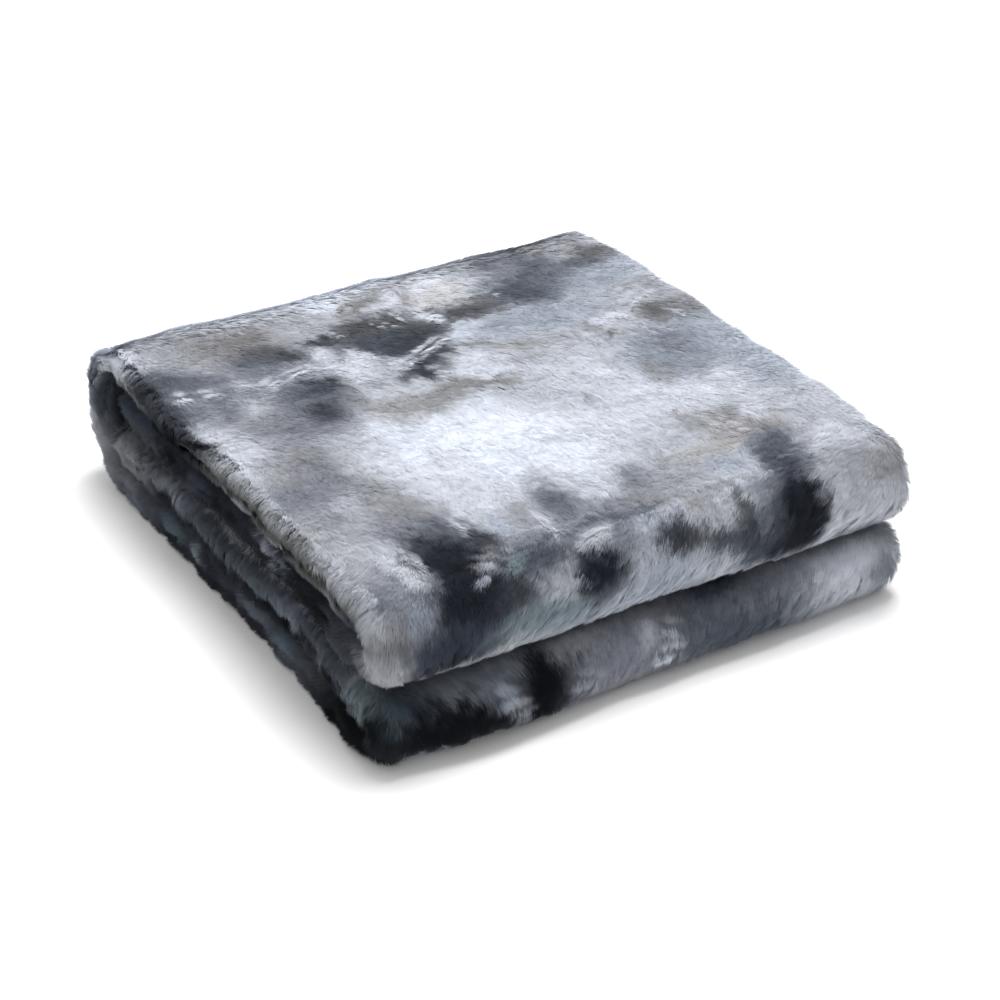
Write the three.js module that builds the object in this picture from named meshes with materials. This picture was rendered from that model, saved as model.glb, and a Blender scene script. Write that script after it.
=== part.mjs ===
// A plush fleece blanket, folded for display. It is one long-pile sheet in four layers: its two ends are
// folded in to meet, and then it is folded in half, so that two round folds lie at the front, one above
// the other, and one large fold makes the spine at the back. Millimetres, +Z up. The front folds run
// along X and face -Y, the spine faces +Y, and the layers show on both X ends.
// The solid reaches as far as the tips of the pile do.

import * as THREE from "three";

// Overall size of the folded blanket, and the height of its four layers before they swell and dip.
const WIDTH = 411;
const DEPTH = 457;
const STACK_HEIGHT = 112;

// Along both ends of every layer the pile makes a rim of this depth, with a groove between the two faces.
// A row for each point of the rim from the groove to the face: how far out it stands and how high.
const RIM_DEPTH = 12;
const RIM = [
  { out: 0.5, half: 0 },
  { out: 1, half: 0.42 },
  { out: 0.72, half: 0.84 },
];
const NOSE_STEPS = 3;
const NOSE_LEAST = 0.35;

// Steps of the mesh: across the width, along each stretch of a layer, and round each fold.
const WIDTH_STEPS = 15;
const LAYER_STEPS = 4;
const FRONT_STEPS = 9;
const SPINE_STEPS = 13;

// How far each round fold's middle lies behind the front, or before the back.
const UPPER_REACH = 32;
const LOWER_REACH = 23.5;
const SPINE_REACH = 54;
const UPPER_Y = -DEPTH / 2 + UPPER_REACH;
const LOWER_Y = -DEPTH / 2 + LOWER_REACH;
const SPINE_Y = DEPTH / 2 - SPINE_REACH;

// Each layer, a row for each section of it in the order in which the sheet runs. z is the height of its
// middle, thick its thickness, and left and right say how far its ends are drawn in from the widest.
const SECOND_LAYER = [
  { y: 172, z: 67, thick: 24, left: 12, right: 12 },
  { y: 74, z: 73, thick: 29, left: 9, right: 8 },
  { y: -16, z: 72, thick: 30, left: 11, right: 6 },
  { y: -106, z: 70, thick: 30, left: 9, right: 9 },
  { y: UPPER_Y, z: 63.5, thick: 30, left: 7, right: 4 },
];
const TOP_LAYER = [
  { y: UPPER_Y, z: 96.5, thick: 30, left: 4, right: 1 },
  { y: -106, z: 99.5, thick: 25, left: 0, right: 2 },
  { y: -16, z: 101, thick: 22, left: 4, right: 0 },
  { y: 74, z: 103, thick: 18, left: 1, right: 0 },
  { y: SPINE_Y, z: 104.5, thick: 15, left: 3, right: 0 },
];
const BOTTOM_LAYER = [
  { y: SPINE_Y, z: 12, thick: 24, left: 2, right: 8 },
  { y: 64, z: 13, thick: 26, left: 4, right: 12 },
  { y: -56, z: 13, thick: 26, left: 5, right: 9 },
  { y: LOWER_Y, z: 11.5, thick: 23, left: 0, right: 8 },
];
const THIRD_LAYER = [
  { y: LOWER_Y, z: 36, thick: 21.5, left: 1, right: 5 },
  { y: -106, z: 40, thick: 24.5, left: 6, right: 9 },
  { y: -16, z: 41.5, thick: 26, left: 1, right: 8 },
  { y: 74, z: 42, thick: 27, left: 5, right: 12 },
  { y: 172, z: 41, thick: 22, left: 3, right: 14 },
];

// The edges of the sheet wander by this much, in two waves along its length.
const EDGE_WAVES = [
  { size: 1.8, length: 74 },
  { size: 1.1, length: 31 },
];

// Soft swells and dips of the stack, the largest at its top and none at the floor.
const SWELLS = [
  { x: -205, y: 62, reachX: 55, reachY: 42, rise: -6 },
  { x: -195, y: -110, reachX: 80, reachY: 60, rise: 4 },
  { x: -60, y: 124, reachX: 90, reachY: 60, rise: -2 },
  { x: 40, y: 14, reachX: 110, reachY: 80, rise: 2 },
  { x: 20, y: -116, reachX: 80, reachY: 50, rise: -1 },
  { x: 195, y: -96, reachX: 70, reachY: 80, rise: 5 },
  { x: 190, y: 74, reachX: 70, reachY: 90, rise: 5 },
];

// How far each of the three folds is drawn in from the furthest front or back, a row for each place
// along the width. The upper front fold stands back a little from the lower one.
const FOLD_LINES = [
  { x: -206, upper: 21, lower: 11, spine: 8 },
  { x: -188, upper: 13, lower: 6, spine: 3 },
  { x: -140, upper: 13, lower: 1, spine: 0 },
  { x: -90, upper: 15, lower: 0, spine: 4 },
  { x: -30, upper: 13, lower: 4, spine: 5 },
  { x: 20, upper: 14, lower: 5, spine: 3 },
  { x: 90, upper: 12, lower: 4, spine: 8 },
  { x: 150, upper: 9, lower: 4, spine: 8 },
  { x: 188, upper: 6, lower: 8, spine: 5 },
  { x: 206, upper: 12, lower: 17, spine: 10 },
];
// How far in from the front or the back a fold's line is followed, and the heights between which the
// lower front fold's line gives way to the upper one's.
const FOLD_DEPTH = 120;
const LOWER_UP_TO = 28;
const UPPER_FROM = 84;

// Pile that comes this near to the floor is pressed flat on it.
const PRESSED = 0.5;

const FLEECE = { color: 0x7d8189, roughness: 0.95, metalness: 0 };

const COLUMNS = ["y", "z", "thick", "left", "right"];

// A value that leaves one number level and comes to the next level.
function ease(from, to, share) {
  const t = THREE.MathUtils.clamp(share, 0, 1);
  return THREE.MathUtils.lerp(from, to, t * t * (3 - 2 * t));
}

// The row a share of the way from one row to the next.
function between(rowA, rowB, share) {
  const row = {};
  for (const column of COLUMNS) row[column] = ease(rowA[column], rowB[column], share);
  row.y = THREE.MathUtils.lerp(rowA.y, rowB.y, share);
  return row;
}

// The stations of a layer: its rows with even steps between them.
function layer(rows) {
  const stations = [];
  for (let i = 0; i < rows.length - 1; i++) {
    for (let k = 0; k < LAYER_STEPS; k++) {
      stations.push(between(rows[i], rows[i + 1], k / LAYER_STEPS));
    }
  }
  return [...stations, rows.at(-1)];
}

// The stations of a fold: a half turn from one layer's last row to the next layer's first, standing out
// to the front or the back, without its two ends.
function fold(last, first, reach, steps) {
  const stations = [];
  const radius = Math.abs(first.z - last.z) / 2;
  for (let k = 1; k < steps; k++) {
    const angle = (Math.PI * k) / steps;
    const row = between(last, first, k / steps);
    const out = Math.sin(angle) * (Math.abs(reach) - row.thick / 2);
    row.y = last.y + Math.sign(reach) * out;
    row.z = (last.z + first.z) / 2 + Math.sign(last.z - first.z) * radius * Math.cos(angle);
    stations.push(row);
  }
  return stations;
}

// The end of the sheet: a round nose past its last row, pointing to the back. Its rim loses the groove.
function nose(row) {
  const stations = [];
  for (let k = 1; k <= NOSE_STEPS; k++) {
    const share = k / NOSE_STEPS;
    const thin = Math.max(Math.sqrt(1 - share * share), NOSE_LEAST);
    stations.push({
      ...row,
      y: row.y + (share * row.thick) / 2,
      thick: row.thick * thin,
      round: share,
    });
  }
  return stations;
}

// The whole sheet's stations, from its inner end on the second layer to its inner end on the third.
function sheetStations() {
  return [
    ...nose(SECOND_LAYER[0]).reverse(),
    ...layer(SECOND_LAYER),
    ...fold(SECOND_LAYER.at(-1), TOP_LAYER[0], -UPPER_REACH, FRONT_STEPS),
    ...layer(TOP_LAYER),
    ...fold(TOP_LAYER.at(-1), BOTTOM_LAYER[0], SPINE_REACH, SPINE_STEPS),
    ...layer(BOTTOM_LAYER),
    ...fold(BOTTOM_LAYER.at(-1), THIRD_LAYER[0], -LOWER_REACH, FRONT_STEPS),
    ...layer(THIRD_LAYER),
    ...nose(THIRD_LAYER.at(-1)),
  ];
}

// Adds to each station its distance along the sheet and the direction of its face, at a right angle to
// the run of the sheet in the Y-Z plane.
function measured(stations) {
  let run = 0;
  return stations.map((row, i) => {
    const before = stations[Math.max(i - 1, 0)];
    const after = stations[Math.min(i + 1, stations.length - 1)];
    const along = new THREE.Vector2(after.y - before.y, after.z - before.z).normalize();
    run += i ? Math.hypot(row.y - before.y, row.z - before.z) : 0;
    return { ...row, run, faceY: -along.y, faceZ: along.x };
  });
}

// Where an end of the sheet lies, with its waves.
function edge(row, side) {
  const drawnIn = side < 0 ? row.left : row.right;
  let wave = 0;
  for (const { size, length } of EDGE_WAVES) {
    wave += size * Math.sin((2 * Math.PI * row.run) / length + side);
  }
  return side * (WIDTH / 2 - drawnIn - Math.abs(wave));
}

// The outline of the sheet across its width at one station, as points with x and half, the share of the
// half thickness. It starts in the middle of the left rim and goes round by the outer face.
function outline(row) {
  const left = edge(row, -1);
  const right = edge(row, 1);
  const rim = RIM.map(({ out, half }) => ({
    into: RIM_DEPTH * (1 - THREE.MathUtils.lerp(out, Math.sqrt(1 - half * half), row.round ?? 0)),
    half,
  }));
  const upper = rim.map(({ into, half }) => ({ x: left + into, half }));
  for (let j = 0; j <= WIDTH_STEPS; j++) {
    const share = j / WIDTH_STEPS;
    const closer = (share + ease(0, 1, share)) / 2;
    upper.push({ x: THREE.MathUtils.lerp(left + RIM_DEPTH, right - RIM_DEPTH, closer), half: 1 });
  }
  upper.push(...rim.reverse().map(({ into, half }) => ({ x: right - into, half })));
  const lower = upper.slice(1, -1).reverse();
  return [...upper, ...lower.map(({ x, half }) => ({ x, half: -half }))];
}

// The column of FOLD_LINES at a place along the width.
function foldLine(x, column) {
  const next = FOLD_LINES.findIndex((row) => row.x >= x);
  if (next < 0) return FOLD_LINES.at(-1)[column];
  if (next === 0) return FOLD_LINES[0][column];
  const [rowA, rowB] = [FOLD_LINES[next - 1], FOLD_LINES[next]];
  return ease(rowA[column], rowB[column], (x - rowA.x) / (rowB.x - rowA.x));
}

// The stack as it really lies: swells lift it by a share of its height, and each fold keeps to its own
// line. The underside stays flat.
function settled({ x, y, z }) {
  let rise = 0;
  for (const swell of SWELLS) {
    const far = ((x - swell.x) / swell.reachX) ** 2 + ((y - swell.y) / swell.reachY) ** 2;
    rise += swell.rise * Math.exp(-far);
  }
  const upperShare = (z - LOWER_UP_TO) / (UPPER_FROM - LOWER_UP_TO);
  const front = ease(foldLine(x, "lower"), foldLine(x, "upper"), upperShare);
  const frontShare = ease(1, 0, (y + DEPTH / 2) / FOLD_DEPTH);
  const spineShare = ease(1, 0, (DEPTH / 2 - y) / FOLD_DEPTH);
  const shift = frontShare * front - spineShare * foldLine(x, "spine");
  const lifted = z < PRESSED ? 0 : z * (1 + rise / STACK_HEIGHT);
  return new THREE.Vector3(x, y + shift, lifted);
}

// The closed skin of the sheet: rings of points round it at each station, joined in order, with both
// inner ends closed from face to face.
function sheetGeometry() {
  const stations = measured(sheetStations());
  const points = [];
  for (const row of stations) {
    for (const { x, half } of outline(row)) {
      const offset = (half * row.thick) / 2;
      points.push(settled({ x, y: row.y + row.faceY * offset, z: row.z + row.faceZ * offset }));
    }
  }
  const ring = points.length / stations.length;
  const faces = [];
  for (let i = 0; i < stations.length - 1; i++) {
    for (let k = 0; k < ring; k++) {
      const a = i * ring + k;
      const b = i * ring + ((k + 1) % ring);
      faces.push(a, b, b + ring, a, b + ring, a + ring);
    }
  }
  const lastRing = (stations.length - 1) * ring;
  for (let k = 0; k < ring / 2; k++) {
    const corners = [k, k + 1, ring - k - 1, (ring - k) % ring];
    for (const [a, b, c] of [
      [0, 1, 2],
      [0, 2, 3],
    ]) {
      const [p, q, r] = [corners[a], corners[b], corners[c]];
      if (p === q || q === r || r === p) continue;
      faces.push(p, r, q);
      faces.push(lastRing + p, lastRing + q, lastRing + r);
    }
  }
  const geometry = new THREE.BufferGeometry().setFromPoints(points);
  geometry.setIndex(faces);
  return geometry;
}

// Stands the geometry on the floor with the middle of its box over the origin.
function centred(geometry) {
  geometry.computeBoundingBox();
  const middle = geometry.boundingBox.getCenter(new THREE.Vector3());
  geometry.translate(-middle.x, -middle.y, -geometry.boundingBox.min.z);
  geometry.computeVertexNormals();
  return geometry;
}

const blanket = new THREE.Mesh(centred(sheetGeometry()), new THREE.MeshStandardMaterial(FLEECE));
blanket.name = "blanket";

const group = new THREE.Group();
group.add(blanket);

export default group;
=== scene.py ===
import math

import bpy
import numpy as np
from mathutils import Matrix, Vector


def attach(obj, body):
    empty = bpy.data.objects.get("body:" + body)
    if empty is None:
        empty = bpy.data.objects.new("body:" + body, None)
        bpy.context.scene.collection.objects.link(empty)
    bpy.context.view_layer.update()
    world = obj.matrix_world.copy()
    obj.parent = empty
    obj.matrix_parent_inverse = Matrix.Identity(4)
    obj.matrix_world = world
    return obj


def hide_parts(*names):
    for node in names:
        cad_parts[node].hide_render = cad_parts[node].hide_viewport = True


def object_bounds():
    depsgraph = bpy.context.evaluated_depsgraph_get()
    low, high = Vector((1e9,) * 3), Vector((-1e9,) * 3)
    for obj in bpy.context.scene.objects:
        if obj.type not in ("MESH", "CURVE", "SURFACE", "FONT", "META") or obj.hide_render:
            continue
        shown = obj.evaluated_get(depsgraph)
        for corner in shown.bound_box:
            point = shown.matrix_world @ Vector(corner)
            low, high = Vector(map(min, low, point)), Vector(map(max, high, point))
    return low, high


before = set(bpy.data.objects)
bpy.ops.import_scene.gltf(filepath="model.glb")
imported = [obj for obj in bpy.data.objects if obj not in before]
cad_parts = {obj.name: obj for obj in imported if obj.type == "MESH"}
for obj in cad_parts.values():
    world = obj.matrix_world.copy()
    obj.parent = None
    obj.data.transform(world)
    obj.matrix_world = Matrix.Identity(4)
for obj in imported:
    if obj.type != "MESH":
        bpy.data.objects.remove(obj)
cad_low, cad_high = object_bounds()

# The cloth. It is one hemmed sheet of knitted polyester, tie-dyed, in four layers: its two ends are
# folded in to meet, and it is folded in half, so two round folds lie at the front, one above the other,
# and one large fold makes the spine. Sizes are metres, y runs to the back and z up.
WIDTH = 0.411
DEPTH = 0.457
STACK_HEIGHT = 0.112
UPPER_REACH = 0.032
LOWER_REACH = 0.0235
SPINE_REACH = 0.054
UPPER_Y = -DEPTH / 2 + UPPER_REACH
LOWER_Y = -DEPTH / 2 + LOWER_REACH
SPINE_Y = DEPTH / 2 - SPINE_REACH

# Each layer's sections: y, height of the middle, thickness, and how far the left and right ends are
# drawn in from the widest.
SECOND_LAYER = [
    (0.172, 0.067, 0.024, 0.012, 0.012),
    (0.074, 0.073, 0.029, 0.009, 0.008),
    (-0.016, 0.072, 0.030, 0.011, 0.006),
    (-0.106, 0.070, 0.030, 0.009, 0.009),
    (UPPER_Y, 0.0635, 0.030, 0.007, 0.004),
]
TOP_LAYER = [
    (UPPER_Y, 0.0965, 0.030, 0.004, 0.001),
    (-0.106, 0.0995, 0.025, 0.000, 0.002),
    (-0.016, 0.101, 0.022, 0.004, 0.000),
    (0.074, 0.103, 0.018, 0.001, 0.000),
    (SPINE_Y, 0.1045, 0.015, 0.003, 0.000),
]
BOTTOM_LAYER = [
    (SPINE_Y, 0.012, 0.024, 0.002, 0.008),
    (0.064, 0.013, 0.026, 0.004, 0.012),
    (-0.056, 0.013, 0.026, 0.005, 0.009),
    (LOWER_Y, 0.0115, 0.023, 0.000, 0.008),
]
THIRD_LAYER = [
    (LOWER_Y, 0.036, 0.0215, 0.001, 0.005),
    (-0.106, 0.040, 0.0245, 0.006, 0.009),
    (-0.016, 0.0415, 0.026, 0.001, 0.008),
    (0.074, 0.042, 0.027, 0.005, 0.012),
    (0.172, 0.041, 0.022, 0.003, 0.014),
]

# Steps between two rows of a layer, round a fold and round an end of the sheet, and the share of the
# thickness that is left at the end's last step.
SECTION_STEPS = 16
FOLD_STEPS = 40
NOSE_STEPS = 8
NOSE_LEAST = 0.12


def eased(share):
    """A share from 0 to 1 that starts and ends level: three times its square less twice its cube."""
    share = np.clip(share, 0, 1)
    return share * share * (3 - 2 * share)


def layer(rows):
    """The stations of a layer: even steps between its rows, y straight and every other column eased."""
    rows = np.array(rows)
    place = np.linspace(0, len(rows) - 1, SECTION_STEPS * (len(rows) - 1) + 1)
    row = np.minimum(place.astype(int), len(rows) - 2)
    share = (place - row)[:, None]
    step = rows[row + 1] - rows[row]
    stations = rows[row] + step * eased(share)
    stations[:, 0] = (rows[row] + step * share)[:, 0]
    return stations


def fold(last, first, reach):
    """A half turn between two layers: y stands out by the sine of the turn, z follows its cosine."""
    last, first = np.array(last), np.array(first)
    angle = math.pi * np.arange(1, FOLD_STEPS) / FOLD_STEPS
    stations = last + (first - last) * eased(angle / math.pi)[:, None]
    out = np.sin(angle) * (abs(reach) - stations[:, 2] / 2)
    stations[:, 0] = last[0] + math.copysign(1, reach) * out
    stations[:, 1] = (last[1] + first[1]) / 2 + (last[1] - first[1]) / 2 * np.cos(angle)
    return stations


def nose(row):
    """A round end past a layer's last row: a quarter circle, its thickness the cosine of its sine."""
    angle = math.pi / 2 * np.arange(1, NOSE_STEPS + 1) / NOSE_STEPS
    stations = np.repeat(np.array([row]), NOSE_STEPS, axis=0)
    stations[:, 0] += np.sin(angle) * row[2] / 2
    stations[:, 2] *= np.maximum(np.cos(angle), NOSE_LEAST)
    return stations


STRETCHES = [
    nose(SECOND_LAYER[0])[::-1],
    layer(SECOND_LAYER),
    fold(SECOND_LAYER[-1], TOP_LAYER[0], -UPPER_REACH),
    layer(TOP_LAYER),
    fold(TOP_LAYER[-1], BOTTOM_LAYER[0], SPINE_REACH),
    layer(BOTTOM_LAYER),
    fold(BOTTOM_LAYER[-1], THIRD_LAYER[0], -LOWER_REACH),
    layer(THIRD_LAYER),
    nose(THIRD_LAYER[-1]),
]
END, SECOND, UPPER_FOLD, TOP, SPINE, BOTTOM, LOWER_FOLD, THIRD, OTHER_END = range(len(STRETCHES))
STATIONS = 330

# At the front folds the grooves of the rims are filled by this share, which fades over this distance.
FILLED_GROOVE, FILLED_TO = 0.8, 0.03
LEAST_STEP = 1e-7
TINY = 1e-12


def lengths(points):
    """The distance along a line of points, from its first; each step adds its length and a hair."""
    steps = np.linalg.norm(np.diff(points, axis=0), axis=1)
    return np.concatenate([[0.0], np.cumsum(steps + LEAST_STEP)])


def unit(vectors):
    """The same directions at length one: each vector over its own length."""
    return vectors / (np.linalg.norm(vectors, axis=-1, keepdims=True) + TINY)


def evened(values, reach):
    """Each value's mean with its neighbours, as many as the reach on both sides."""
    window = np.ones(2 * reach + 1) / (2 * reach + 1)
    return np.convolve(np.pad(values, reach, mode="edge"), window, mode="valid")


def way_of_the_cloth():
    """Even stations along the outer face, which is the middle line plus half the thickness across its
    heading: their sections, face directions, stretches, and distances along the middle and the face.
    The rims are filled round at both ends of the sheet, and at the front folds by an eased share."""
    rows = np.concatenate(STRETCHES)
    stretch = np.concatenate([np.full(len(s), k) for k, s in enumerate(STRETCHES)])
    middle = lengths(rows[:, :2])
    rounded = np.zeros(len(rows))
    rounded[:NOSE_STEPS] = np.linspace(1, 0, NOSE_STEPS, endpoint=False)
    rounded[-NOSE_STEPS:] = rounded[:NOSE_STEPS][::-1]
    for front_fold in (UPPER_FOLD, LOWER_FOLD):
        of_fold = middle[stretch == front_fold]
        far = np.maximum(of_fold[0] - middle, middle - of_fold[-1])
        rounded = np.maximum(rounded, FILLED_GROOVE * (1 - eased(far / FILLED_TO)))
    heading = unit(np.gradient(rows[:, :2], middle, axis=0))
    facing = np.stack([-heading[:, 1], heading[:, 0]], axis=1)
    skin = lengths(rows[:, :2] + facing * rows[:, 2:3] / 2)
    skin -= skin[NOSE_STEPS]
    even = np.linspace(skin[0], skin[-1], STATIONS)

    def at_even(column):
        return np.interp(even, skin, column)

    return {
        "y": at_even(rows[:, 0]),
        "z": at_even(rows[:, 1]),
        "thick": at_even(rows[:, 2]),
        "left": at_even(rows[:, 3]),
        "right": at_even(rows[:, 4]),
        "round": at_even(rounded),
        "middle": at_even(middle),
        "face_y": at_even(facing[:, 0]),
        "face_z": at_even(facing[:, 1]),
        "stretch": stretch[np.searchsorted(skin, even).clip(0, len(stretch) - 1)],
        "skin": even,
    }


way = way_of_the_cloth()

# The ring round the sheet at one station: the left rim, the outer face, the right rim and the inner
# face. Along both rims the pile stands in two lobes with a groove between them.
FACE_COLUMNS = 64
RIM_STEPS = 6
RIM_DEPTH = 0.012
RIM_GROOVE = 0.5
EDGE_WAVES = [(0.0018, 0.074), (0.0011, 0.031)]  # size, length
RIM_WANDERS = [  # size as a share of the half thickness, length, start
    (0.22, 0.087, 1.0),
    (0.12, 0.039, 2.0),
]

rim_turn = math.pi / 2 * np.arange(RIM_STEPS) / RIM_STEPS
across_face = np.linspace(0, 1, FACE_COLUMNS)
ring_half = np.concatenate(
    [
        np.sin(rim_turn),
        np.ones(FACE_COLUMNS),
        np.sin(rim_turn[::-1]),
        -np.sin(rim_turn[1:]),
        -np.ones(FACE_COLUMNS),
        -np.sin(rim_turn[:0:-1]),
    ]
)
ring_share = np.concatenate(
    [
        np.zeros(RIM_STEPS),
        across_face,
        np.ones(2 * RIM_STEPS - 1),
        across_face[::-1],
        np.zeros(RIM_STEPS - 1),
    ]
)
RING = len(ring_half)
on_rim = np.abs(ring_half) < 1
rim_side = np.where(on_rim, np.where(ring_share < 0.5, -1, 1), 0)

# How deep the pile covers the cloth: where it shows, where layers press on it, and along both ends.
EXPOSED = 0.0036
PRESSED = 0.0016
EDGE = 0.004
THINNEST = 0.001


def edge(side):
    """Where an end of the sheet lies along X: the half width less what is drawn in and two sine waves."""
    drawn_in = way["left"] if side < 0 else way["right"]
    wave = sum(size * np.sin(2 * math.pi * way["middle"] / length + side) for size, length in EDGE_WAVES)
    return side * (WIDTH / 2 - drawn_in - np.abs(wave))


def sheet_points(outer_cover, inner_cover, edge_cover):
    """The sheet before it settles. At each station the ring stands off the middle line by its share of
    half the thickness, less the pile's cover, and reaches from end to end. A rim's two lobes are half
    circles, and the fourth root of a sum of fourth powers joins them to the shallower groove."""
    left, right = edge(-1) + edge_cover, edge(1) - edge_cover
    half = ring_half[None, :]
    wander = sum(
        size * np.sin(2 * math.pi * way["middle"] / length + start)[:, None]
        for size, length, start in RIM_WANDERS
    )
    shifted = half + wander * (1 - half**2)
    lobe = np.sqrt(np.clip(1 - (2 * np.abs(shifted) - 1) ** 2, 0, 1))
    circle = np.sqrt(1 - half**2)
    grooved = (lobe**4 + (RIM_GROOVE * circle) ** 4) ** 0.25
    out = grooved + (circle - grooved) * way["round"][:, None]
    inner_left, inner_right = (left + RIM_DEPTH)[:, None], (right - RIM_DEPTH)[:, None]
    x = inner_left + (inner_right - inner_left) * ring_share[None, :] + rim_side * out * RIM_DEPTH
    cover = np.where(half > 0, outer_cover[:, None], inner_cover[:, None])
    offset = half * np.maximum(way["thick"][:, None] / 2 - cover, THINNEST)
    y = way["y"][:, None] + way["face_y"][:, None] * offset
    z = way["z"][:, None] + way["face_z"][:, None] * offset
    return x, y, z


# How the stack has settled: soft swells and dips, and how far each fold is drawn in along its length.
SWELLS = [  # x, y, reach along x, reach along y, rise
    (-0.205, 0.062, 0.055, 0.042, -0.006),
    (-0.195, -0.110, 0.080, 0.060, 0.004),
    (-0.060, 0.124, 0.090, 0.060, -0.002),
    (0.040, 0.014, 0.110, 0.080, 0.002),
    (0.020, -0.116, 0.080, 0.050, -0.001),
    (0.195, -0.096, 0.070, 0.080, 0.005),
    (0.190, 0.074, 0.070, 0.090, 0.005),
]
FOLD_LINES = np.array(
    [  # x, upper fold, lower fold, spine
        (-0.206, 0.021, 0.011, 0.008),
        (-0.188, 0.013, 0.006, 0.003),
        (-0.140, 0.013, 0.001, 0.000),
        (-0.090, 0.015, 0.000, 0.004),
        (-0.030, 0.013, 0.004, 0.005),
        (0.020, 0.014, 0.005, 0.003),
        (0.090, 0.012, 0.004, 0.008),
        (0.150, 0.009, 0.004, 0.008),
        (0.188, 0.006, 0.008, 0.005),
        (0.206, 0.012, 0.017, 0.010),
    ]
)
FOLD_DEPTH = 0.120
LOWER_UP_TO = 0.028
UPPER_FROM = 0.084


def fold_line(x, column):
    """A column of FOLD_LINES at x, eased from row to row."""
    row = np.clip(np.searchsorted(FOLD_LINES[:, 0], x) - 1, 0, len(FOLD_LINES) - 2)
    before, after = FOLD_LINES[row], FOLD_LINES[row + 1]
    share = eased((x - before[..., 0]) / (after[..., 0] - before[..., 0]))
    return before[..., column] + (after[..., column] - before[..., column]) * share


def settled(x, y, z):
    """Swells lift a point by their bell curves times its height, and the folds shift y to their lines."""
    rise = sum(
        lift * np.exp(-(((x - at_x) / reach_x) ** 2) - ((y - at_y) / reach_y) ** 2)
        for at_x, at_y, reach_x, reach_y, lift in SWELLS
    )
    upper = eased((z - LOWER_UP_TO) / (UPPER_FROM - LOWER_UP_TO))
    front = fold_line(x, 2) * (1 - upper) + fold_line(x, 1) * upper
    near_front = 1 - eased((y + DEPTH / 2) / FOLD_DEPTH)
    near_spine = 1 - eased((DEPTH / 2 - y) / FOLD_DEPTH)
    y = y + near_front * front - near_spine * fold_line(x, 3)
    return np.stack([x, y, np.maximum(z, 0) * (1 + rise / STACK_HEIGHT)], axis=-1)


no_cover = np.zeros(STATIONS)
whole = settled(*sheet_points(no_cover, no_cover, 0.0)).reshape(-1, 3)
middle_of_whole = (whole.min(axis=0) + whole.max(axis=0)) / 2
cad_middle = (np.array(cad_low) + np.array(cad_high)) / 2
seat = np.array([*(cad_middle - middle_of_whole)[:2], 0.0])

COVER_EVENED = 4
hidden = np.isin(way["stretch"], [END, SECOND, BOTTOM, THIRD, OTHER_END])
outer_cover = evened(np.where(hidden, PRESSED, EXPOSED), COVER_EVENED)
inner_cover = np.full(STATIONS, PRESSED)
cloth_points = settled(*sheet_points(outer_cover, inner_cover, EDGE)) + seat
LATTICE = 256


def cloud(along, across, size, seed):
    """Soft noise from 0 to 1: seeded values on a square lattice of that size, eased between them."""
    values = np.random.default_rng(seed).random((LATTICE, LATTICE))
    i, j = np.floor(along / size).astype(int), np.floor(across / size).astype(int)
    u, v = eased(along / size - i), eased(across / size - j)
    here, beyond, near, far = i % LATTICE, (i + 1) % LATTICE, j % LATTICE, (j + 1) % LATTICE
    low = values[here, near] * (1 - u) + values[beyond, near] * u
    high = values[here, far] * (1 - u) + values[beyond, far] * u
    return low * (1 - v) + high * v


def directions(points):
    """At each point of the ring grid, the directions along the cloth and round the ring, and the one
    outwards, which is the cross product of the two turned about."""
    along = unit(np.gradient(points, axis=0))
    round_ring = unit(np.roll(points, -1, axis=1) - np.roll(points, 1, axis=1))
    return along, round_ring, -unit(np.cross(along, round_ring))


# Soft lumps over the whole sheet, others on each face, and flatter where it lies on the floor.
LUMPS = [(0.034, 0.0016, 11), (0.016, 0.0008, 12)]  # size, height, seed
LUMPS_APART = 0.3
LUMPS_BELOW = 0.3
LOWEST_CLOTH = 0.0006
skin_run = np.broadcast_to(way["skin"][:, None], cloth_points.shape[:2])
lump_across = cloth_points[..., 0] + LUMPS_APART * np.sign(ring_half)
lump = sum(height * (cloud(skin_run, lump_across, size, seed) - 0.5) * 2 for size, height, seed in LUMPS)
lump[way["stretch"] == BOTTOM] *= LUMPS_BELOW
cloth_points = cloth_points + directions(cloth_points)[2] * lump[..., None]
cloth_points[..., 2] = np.maximum(cloth_points[..., 2], LOWEST_CLOTH)
along_step, round_step, cloth_normals = directions(cloth_points)

# The dye: charcoal, greys and ice white, tied and dipped, so its patches are soft and ragged. Some rows
# are painted shade or a painted highlight instead, as marked. Places are millimetres on the outer
# face: across from the middle, and along from the second layer's end.
SHADES = {  # red, green and blue, out of 255
    "soot": (14, 16, 20),
    "ink": (32, 35, 43),
    "coal_blue": (52, 58, 69),
    "charcoal": (62, 65, 72),
    "lead": (78, 84, 94),
    "moss": (72, 74, 69),
    "graphite": (87, 89, 93),
    "slate": (90, 96, 106),
    "petrol": (84, 98, 106),
    "pewter": (108, 108, 110),
    "steel": (110, 115, 125),
    "teal": (118, 131, 137),
    "stone": (126, 125, 126),
    "fog": (124, 128, 138),
    "mid": (140, 141, 146),
    "mist": (140, 148, 160),
    "warm": (150, 149, 150),
    "dove": (160, 162, 169),
    "haze": (165, 172, 184),
    "sand": (178, 176, 175),
    "ash": (188, 192, 200),
    "cream": (203, 203, 207),
    "pearl": (208, 212, 221),
    "ice": (221, 226, 235),
    "snow": (230, 235, 243),
}
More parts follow.
